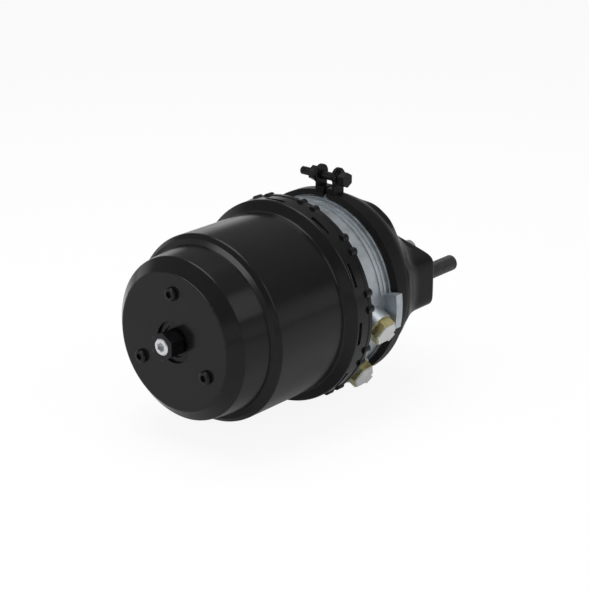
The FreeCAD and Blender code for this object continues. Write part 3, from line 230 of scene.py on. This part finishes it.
def plated(name, dark, light, roughness, metallic, tint=None, specular=0.5, thread=None):
    """Plated steel: cloudy passivation, fine tool marks, rubbed edges and perhaps a thread."""
    made = Finish(name, metallic=metallic, specular=specular)
    cloud = made.remap(made.noise(160, detail=5), 0.3, 0.7)
    body = made.blend_colours(cloud, dark, light)
    if tint:
        body = made.blend_colours(made.remap(made.noise(75, detail=2), 0.45, 0.7), body, tint)
    rub = made.combine("MULTIPLY", made.edges(0.0005),
                       made.remap(made.noise(300), 0.3, 0.7, 0.2, 0.9))
    made.colour(made.blend_colours(rub, body, brighter(light, WORN_PLATING)))
    made.roughness(made.remap(made.noise(240, detail=4), 0.3, 0.75,
                              roughness - 0.06, roughness + 0.12))
    made.bump(made.noise(1100, detail=3), 0.00002)
    made.bump(made.noise(250, detail=2, place=made.stretched_place((8, 1, 1))), 0.00003)
    if thread:
        made.bump(made.thread(*thread), THREAD_DEPTH)
    return made.material


def cast(name, dark, light, roughness):
    """Die-cast aluminium: fine grain, flow clouds, small pits and bright rubbed edges."""
    made = Finish(name, metallic=0.9)
    cloud = made.remap(made.noise(38, detail=5, roughness=0.6), 0.3, 0.72)
    body = made.blend_colours(cloud, dark, light)
    grain = made.remap(made.noise(1900, detail=3), 0.35, 0.65, 0, 0.35)
    body = made.blend_colours(grain, body, tuple(c * 0.72 for c in dark))
    rub = made.combine("MULTIPLY", made.edges(0.0008), 0.6)
    made.colour(made.blend_colours(rub, body, brighter(light, WORN_CASTING)))
    made.roughness(made.remap(made.noise(120, detail=5), 0.3, 0.75,
                              roughness - 0.08, roughness + 0.12))
    made.bump(made.noise(1500, detail=4), 0.00006)
    made.bump(made.remap(made.spots(420), 0.0, 0.12), 0.00005)
    return made.material


def turned(name, colour, roughness):
    """Turned bright steel: rings about the long axis and light scratches."""
    made = Finish(name, metallic=1.0)
    cloud = made.noise(140, detail=4)
    made.colour(made.blend_colours(cloud, tuple(c * 0.8 for c in colour), colour))
    rings = made.noise(900, detail=2, place=made.stretched_place((6, 0.4, 0.4)))
    made.roughness(made.remap(rings, 0.3, 0.7, roughness - 0.06, roughness + 0.1))
    made.bump(rings, 0.00002)
    return made.material


def moulded(name, colour, roughness):
    """Moulded rubber or plastic: fine matt grain, bloom and scuffs."""
    made = Finish(name)
    bloom = made.remap(made.noise(30, detail=5), 0.3, 0.75)
    made.colour(made.blend_colours(bloom, colour, tuple(c * 1.7 + 0.004 for c in colour)))
    made.roughness(made.remap(made.noise(180, detail=4), 0.3, 0.7,
                              roughness - 0.08, roughness + 0.1))
    made.bump(made.noise(1700, detail=3), 0.00004)
    return made.material


DARK_PLATE = ((0.0035, 0.0035, 0.004), (0.008, 0.008, 0.009))
STUD_THREAD = ("X", 0.0015, 0.016, 0.0555)
CLAMP_THREAD = ("Y", 0.00125, 0.0162, 0.0288)

FINISHES = {
    "black_paint_gloss": paint(
        "black_paint_gloss", (0.0045, 0.0045, 0.005), (0.008, 0.008, 0.0085),
        (0.035, 0.035, 0.037), roughness=0.14, peel_depth=0.000012, specular=0.17),
    "black_paint_satin": paint(
        "black_paint_satin", (0.0045, 0.0045, 0.005), (0.0075, 0.0075, 0.008),
        (0.04, 0.04, 0.042), roughness=0.3, peel_depth=0.00003, specular=0.09),
    "black_zinc": plated(
        "black_zinc", *DARK_PLATE, roughness=0.22, metallic=0.0, specular=0.16),
    "black_zinc_stud": plated(
        "black_zinc_stud", *DARK_PLATE, roughness=0.36, metallic=0.0, specular=0.3,
        thread=STUD_THREAD),
    "black_zinc_clamp": plated(
        "black_zinc_clamp", *DARK_PLATE, roughness=0.3, metallic=0.0, specular=0.14,
        thread=CLAMP_THREAD),
    "bright_steel": turned("bright_steel", (0.62, 0.63, 0.65), roughness=0.24),
    "spring_steel": plated(
        "spring_steel", (0.05, 0.055, 0.065), (0.10, 0.105, 0.115), roughness=0.4, metallic=0.4),
    "cast_aluminium": cast(
        "cast_aluminium", (0.33, 0.36, 0.385), (0.48, 0.52, 0.545), roughness=0.44),
    "black_rubber": moulded("black_rubber", (0.012, 0.012, 0.012), roughness=0.6),
    "grey_plastic": moulded("grey_plastic", (0.30, 0.31, 0.33), roughness=0.45),
    "yellow_zinc": plated(
        "yellow_zinc", (0.46, 0.36, 0.12), (0.66, 0.56, 0.27), roughness=0.28, metallic=0.9,
        tint=(0.52, 0.52, 0.32)),
    "pale_zinc": plated(
        "pale_zinc", (0.45, 0.455, 0.45), (0.56, 0.565, 0.555), roughness=0.42, metallic=0.2),
}

SLOT_OF_NODE = {
    "black_paint_gloss": ("spring_housing",),
    "black_paint_satin": ("service_housing", "clamp_band"),
    "black_zinc": ("face_screws", "release_bolt", "release_guide", "clamp_nut",
                   "release_thrust_nut", "tube_thrust_screw"),
    "black_zinc_stud": ("mounting_studs",),
    "black_zinc_clamp": ("clamp_bolt",),
    "bright_steel": ("indicator_pin", "piston_tube", "release_thrust_washer",
                     "tube_thrust_plate", "push_plate", "push_rod"),
    "spring_steel": ("power_spring", "return_spring"),
    "cast_aluminium": ("intermediate_flange", "spring_piston"),
    "black_rubber": ("release_guide_seal", "piston_seal", "flange_seal", "tube_seals", "diaphragm",
                     "rod_gaiter", "face_seal_ring"),
    "grey_plastic": ("piston_guide_ring", "spring_seat_ring", "tube_guide_bush"),
    "yellow_zinc": ("port_plugs",),
    "pale_zinc": ("plug_caps",),
}

for finish, names in SLOT_OF_NODE.items():
    for name in names:
        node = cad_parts[name]
        node.data.materials.clear()
        node.data.materials.append(FINISHES[finish])


def light_path_share(tree):
    """The glow's share for rays that look at the stage, less of it for rays from gloss."""
    path = tree.nodes.new("ShaderNodeLightPath")
    total = None
    for name, share in (("Is Camera Ray", FLOOR_GLOW_SHARE), ("Is Glossy Ray", FLOOR_GLOSS_SHARE),
                        ("Is Transmission Ray", FLOOR_GLOW_SHARE)):
        scaled = tree.nodes.new("ShaderNodeMath")
        scaled.operation = "MULTIPLY"
        scaled.inputs[1].default_value = share
        tree.links.new(path.outputs[name], scaled.inputs[0])
        if total is None:
            total = scaled.outputs["Value"]
            continue
        most = tree.nodes.new("ShaderNodeMath")
        most.operation = "MAXIMUM"
        tree.links.new(total, most.inputs[0])
        tree.links.new(scaled.outputs["Value"], most.inputs[1])
        total = most.outputs["Value"]
    return total


def make_floor(height):
    half = FLOOR_SIZE / 2
    mesh = bpy.data.meshes.new("floor")
    corners = [(-half, -half, height), (half, -half, height),
               (half, half, height), (-half, half, height)]
    mesh.from_pydata(corners, [], [(0, 1, 2, 3)])
    floor = bpy.data.objects.new("floor", mesh)
    bpy.context.scene.collection.objects.link(floor)
    material = bpy.data.materials.new("floor_white")
    material.use_nodes = True
    tree = material.node_tree
    tree.nodes.clear()
    matt = tree.nodes.new("ShaderNodeBsdfDiffuse")
    matt.inputs["Color"].default_value = (*FLOOR_COLOUR, 1)
    glow = tree.nodes.new("ShaderNodeEmission")
    glow.inputs["Color"].default_value = (1, 1, 1, 1)
    mix = tree.nodes.new("ShaderNodeMixShader")
    output = tree.nodes.new("ShaderNodeOutputMaterial")
    tree.links.new(light_path_share(tree), mix.inputs[0])
    tree.links.new(matt.outputs[0], mix.inputs[1])
    tree.links.new(glow.outputs[0], mix.inputs[2])
    tree.links.new(mix.outputs[0], output.inputs["Surface"])
    mesh.materials.append(material)


def make_world():
    """A pale studio: white at the horizon, and darker grey overhead between the lamps."""
    world = bpy.data.worlds.new("studio")
    bpy.context.scene.world = world
    world.use_nodes = True
    tree = world.node_tree
    background = tree.nodes["Background"]
    place = tree.nodes.new("ShaderNodeTexCoord")
    split = tree.nodes.new("ShaderNodeSeparateXYZ")
    ramp = tree.nodes.new("ShaderNodeValToRGB")
    tree.links.new(place.outputs["Generated"], split.inputs[0])
    tree.links.new(split.outputs["Z"], ramp.inputs["Fac"])
    tree.links.new(ramp.outputs["Color"], background.inputs["Color"])
    points = ramp.color_ramp.elements
    points[0].position, points[0].color = 0.0, (1, 1, 1, 1)
    points[1].position, points[1].color = 1.0, (0.55, 0.55, 0.56, 1)
    for position, value in ((0.18, 0.9), (0.32, 0.22), (0.55, 0.34)):
        points.new(position).color = (value, value, value * 1.01, 1)


def make_lamp(name, place, aim, size, power):
    light = bpy.data.lights.new(name, "AREA")
    light.shape = "RECTANGLE"
    light.size, light.size_y = size
    light.energy = power
    lamp = bpy.data.objects.new(name, light)
    lamp.location = place
    lamp.rotation_mode = "QUATERNION"
    lamp.rotation_quaternion = (Vector(aim) - Vector(place)).to_track_quat("-Z", "Y")
    bpy.context.scene.collection.objects.link(lamp)


def make_camera():
    data = bpy.data.cameras.new("camera")
    data.sensor_width = SENSOR_MM
    data.lens = FOCAL_PIXELS / IMAGE_PIXELS * SENSOR_MM
    data.clip_start, data.clip_end = 0.05, 100
    camera = bpy.data.objects.new("camera", data)
    across, upward, backward = CAMERA_OFFSET
    place = FACE_CENTRE + CAMERA_RIGHT * across + CAMERA_UP * upward + CAMERA_BACK * backward
    turn = Matrix((CAMERA_RIGHT, CAMERA_UP, CAMERA_BACK)).transposed().to_4x4()
    camera.matrix_world = Matrix.Translation(place) @ turn
    bpy.context.scene.collection.objects.link(camera)
    bpy.context.scene.camera = camera


# Pieces made here in place of a node of the part. Places are x and sizes are radii, in metres.

LATHE_STEPS = 96
CASTING_STEPS = 240
GAITER_STEPS = 64
COIL_SIDES, COIL_STEPS = 14, 48
POWER_COIL = {"radius": 0.060, "wire": 0.006, "turns": 3.25}
RETURN_COIL = {"radius": 0.0264, "wire": 0.0018, "turns": 3}


def add_piece(name, points, faces, node, slot):
    """A smooth piece that stands for a node of the part."""
    mesh = bpy.data.meshes.new(name)
    mesh.from_pydata(points, [], faces)
    mesh.validate()
    mesh.shade_smooth()
    mesh.materials.append(FINISHES[slot])
    piece = bpy.data.objects.new(name, mesh)
    bpy.context.scene.collection.objects.link(piece)
    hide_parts(node)
    return piece


def ring_faces(rings, count):
    """Faces between closed outlines of count points each, the last joined to the first."""
    faces = []
    for step in range(rings):
        here, beyond = step * count, (step + 1) % rings * count
        for index in range(count):
            after = (index + 1) % count
            faces.append((here + index, here + after, beyond + after, beyond + index))
    return faces


def lathe(profile):
    """Points and faces of a closed outline of x and radius, turned about the x axis."""
    points = []
    for step in range(LATHE_STEPS):
        angle = 2 * math.pi * step / LATHE_STEPS
        points += [(x, r * math.cos(angle), r * math.sin(angle)) for x, r in profile]
    return points, ring_faces(LATHE_STEPS, len(profile))


def finer(outline, step):
    """The closed outline again, with points added so that none are further apart than a step."""
    dense = []
    for (x0, r0), (x1, r1) in zip(outline, outline[1:] + outline[:1]):
        parts = max(1, math.ceil(math.hypot(x1 - x0, r1 - r0) / step))
        dense += [(x0 + (x1 - x0) * i / parts, r0 + (r1 - r0) * i / parts) for i in range(parts)]
    return dense


def coil(start, end, radius, wire, turns):
    """Points and faces of a round wire wound about the x axis, with closed ends."""
    around, along = COIL_SIDES, int(turns * COIL_STEPS)
    points, faces = [], []
    for step in range(along + 1):
        angle = 2 * math.pi * turns * step / along
        x = start + (end - start) * step / along
        for spot in range(around):
            lean = 2 * math.pi * spot / around
            out = radius + wire * math.cos(lean)
            points.append((x + wire * math.sin(lean), out * math.cos(angle), out * math.sin(angle)))
    for step in range(along):
        for spot in range(around):
            after = (spot + 1) % around
            here, beyond = step * around, (step + 1) * around
            faces.append((here + spot, here + after, beyond + after, beyond + spot))
    faces.append(tuple(range(around)))
    faces.append(tuple(along * around + spot for spot in reversed(range(around))))
    return points, faces


# The service housing's casting, with a rounded corner between its dome and mounting block

RIM_START, RIM_END, RIM_RADIUS = -0.072, -0.068, 0.0915
DOME_RADIUS, DOME_BEND = 0.0895, -0.0505
DOME_END, DOME_END_RADIUS = -0.012, 0.0595
BLOCK_SIDE, BLOCK_TOP, BLOCK_PEAK, BLOCK_SLOPE = 0.0805, 0.0424, 0.048, 0.281
BLOCK_START, BLOCK_EDGE = -0.052, 0.0035
LAND_TURN, LAND_NEAR, LAND_FAR, LAND_RADIUS = 31.0, 4.0, 26.0, 0.0868
LAND_END, LAND_FOOT = -0.0405, -0.0355
DOME_BLEND, BLOCK_BLEND, BLOCK_RISE = 0.006, 0.012, 0.012
CORNER_POWER = 17
FALL_PAST_DOME = 14
NEARLY_ZERO = 1e-6
SHARP_DEGREES = 38


def soft_max(first, second, blend):
    near = max(0.0, 1 - abs(first - second) / blend)
    return max(first, second) + near * near * blend / 4


def soft_min(first, second, blend):
    return -soft_max(-first, -second, blend)


def ramp(value, start, end):
    """Rises from 0 at the start to 1 at the end."""
    share = min(1.0, max(0.0, (value - start) / (end - start)))
    return share * share * (3 - 2 * share)


def block_radius(turn):
    """The long hexagon of the mounting block at an angle from the top, its end corners rounded."""
    up, side = abs(math.cos(turn)), abs(math.sin(turn))
    slopes = min(BLOCK_TOP / max(up, NEARLY_ZERO), BLOCK_PEAK / (up + BLOCK_SLOPE * side))
    ends = BLOCK_SIDE / max(side, NEARLY_ZERO)
    return (slopes ** -CORNER_POWER + ends ** -CORNER_POWER) ** (-1 / CORNER_POWER)


def dome_radius(x):
    slope = (DOME_RADIUS - DOME_END_RADIUS) / (DOME_END - DOME_BEND)
    cone = DOME_RADIUS - slope * (x - DOME_BEND)
    if x > DOME_END:
        cone -= (x - DOME_END) * FALL_PAST_DOME
    return soft_min(DOME_RADIUS, cone, DOME_BLEND)


def casting_radius(x, degrees):
    """The casting's radius at a place on the axis and an angle from the top towards -Y."""
    turn = math.radians(degrees)
    block = block_radius(turn)
    if x > -BLOCK_EDGE:
        share = min(1.0, (x + BLOCK_EDGE) / BLOCK_EDGE)
        block -= BLOCK_EDGE * (1 - math.sqrt(1 - share * share))
    block *= ramp(x, BLOCK_START - BLOCK_RISE, BLOCK_START)
    radius = soft_max(dome_radius(x), block, BLOCK_BLEND)
    lean = abs((degrees - LAND_TURN + 180) % 360 - 180)
    boss = ramp(lean, LAND_FAR, LAND_NEAR) * ramp(x, LAND_FOOT, LAND_END)
    return radius + max(0.0, LAND_RADIUS - radius) * boss


def casting_places():
    places = [RIM_END + step * 0.001 for step in range(56)]
    places += [DOME_END + step * 0.0004 for step in range(1, 9)]
    places += [-0.0085, -0.007, -0.0055, -0.0045]
    places += [-BLOCK_EDGE * (1 - share) for share in (0, 0.2, 0.4, 0.6, 0.75, 0.87, 0.95, 0.99, 1)]
    return sorted(set(places))


def make_casting():
    mouth, seat, ring_low, ring_high = 0.024, 0.027, 0.0325, 0.0355
    places = casting_places()
    closing = [(0, 0.04), (0, ring_high), (-0.00125, ring_high), (-0.00125, ring_low),
               (0, ring_low), (0, seat), (-0.002, seat), (-0.002, mouth), (-0.004, mouth),
               (-0.004, 0.036), (-0.0145, 0.036), (-0.016, 0.05), (-0.016, 0.0555),
               (-0.0525, 0.0815), (RIM_START, 0.0815), (RIM_START, RIM_RADIUS),
               (RIM_END, RIM_RADIUS)]
    points = []
    for step in range(CASTING_STEPS):
        degrees = step * 360 / CASTING_STEPS
        turn = math.radians(degrees)
        profile = [(x, casting_radius(x, degrees)) for x in places] + closing
        points += [(x, -r * math.sin(turn), r * math.cos(turn)) for x, r in profile]
    faces = ring_faces(CASTING_STEPS, len(places) + len(closing))
    piece = add_piece("service_casting", points, faces, "service_housing", "black_paint_satin")
    piece.data.set_sharp_from_angle(angle=math.radians(SHARP_DEGREES))
    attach(piece, "housing")


def make_gaiter():
    """Four rounded folds from the mouth's seat down to a lip on the rod."""
    low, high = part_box("rod_gaiter")
    seat, rod, wall = high.y, 0.00906, 0.0018
    fold, crest, depth, drop = 0.007, 0.0223, 0.0018, 0.00028
    end, tip = 0.0315, high.x
    outer = [(low.x, 0.0207), (low.x, seat), (-0.0001, seat), (-0.0001, crest - 0.001)]
    middle = []
    for step in range(1, GAITER_STEPS):
        x = end * step / GAITER_STEPS
        fade = min(1, (end - x) / fold)
        ripple = depth * fade * (math.cos(2 * math.pi * (x / fold - 0.5)) - 1)
        middle.append((x, crest - drop * x * 1000 + ripple))
    lip = rod + wall * 1.5
    outer += middle + [(end, lip), (tip, lip), (tip, rod), (end, rod)]
    inner = [(x, r - wall) for x, r in reversed(middle) if r - wall > rod]
    points, faces = lathe(outer + inner)
    piece = add_piece("gaiter_folds", points, faces, "rod_gaiter", "black_rubber")
    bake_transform(piece)


def make_diaphragm():
    low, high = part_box("diaphragm")
    face, back, rim, wall = low.x, high.x, high.y, 0.0032
    outline = [
        (face, rim), (face, 0.076), (back - wall, 0.052), (back - wall, 0.0001),
        (back, 0.0001), (back, 0.0536), (face + wall, 0.0792), (face + wall, rim),
    ]
    points, faces = lathe(finer(outline, 0.004))
    piece = add_piece("diaphragm_cup", points, faces, "diaphragm", "black_rubber")
    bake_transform(piece)


def make_springs():
    """The power spring and the return spring, as coils wound between fixed places on the axis."""
    low, high = -0.2787, -0.1783
    points, faces = coil(low, high, **POWER_COIL)
    power = add_piece("power_coil", points, faces, "power_spring", "spring_steel")
    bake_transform(power)
    low, high = -0.0161, -0.0061
    points, faces = coil(low, high, **RETURN_COIL)
    small = add_piece("return_coil", points, faces, "return_spring", "spring_steel")
    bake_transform(small)


make_casting()
make_gaiter()
make_diaphragm()
make_springs()
make_floor(cad_low.z - FLOOR_GAP)
make_world()
for lamp_settings in LAMPS:
    make_lamp(*lamp_settings)
make_camera()

bpy.context.scene.view_settings.view_transform = "Standard"
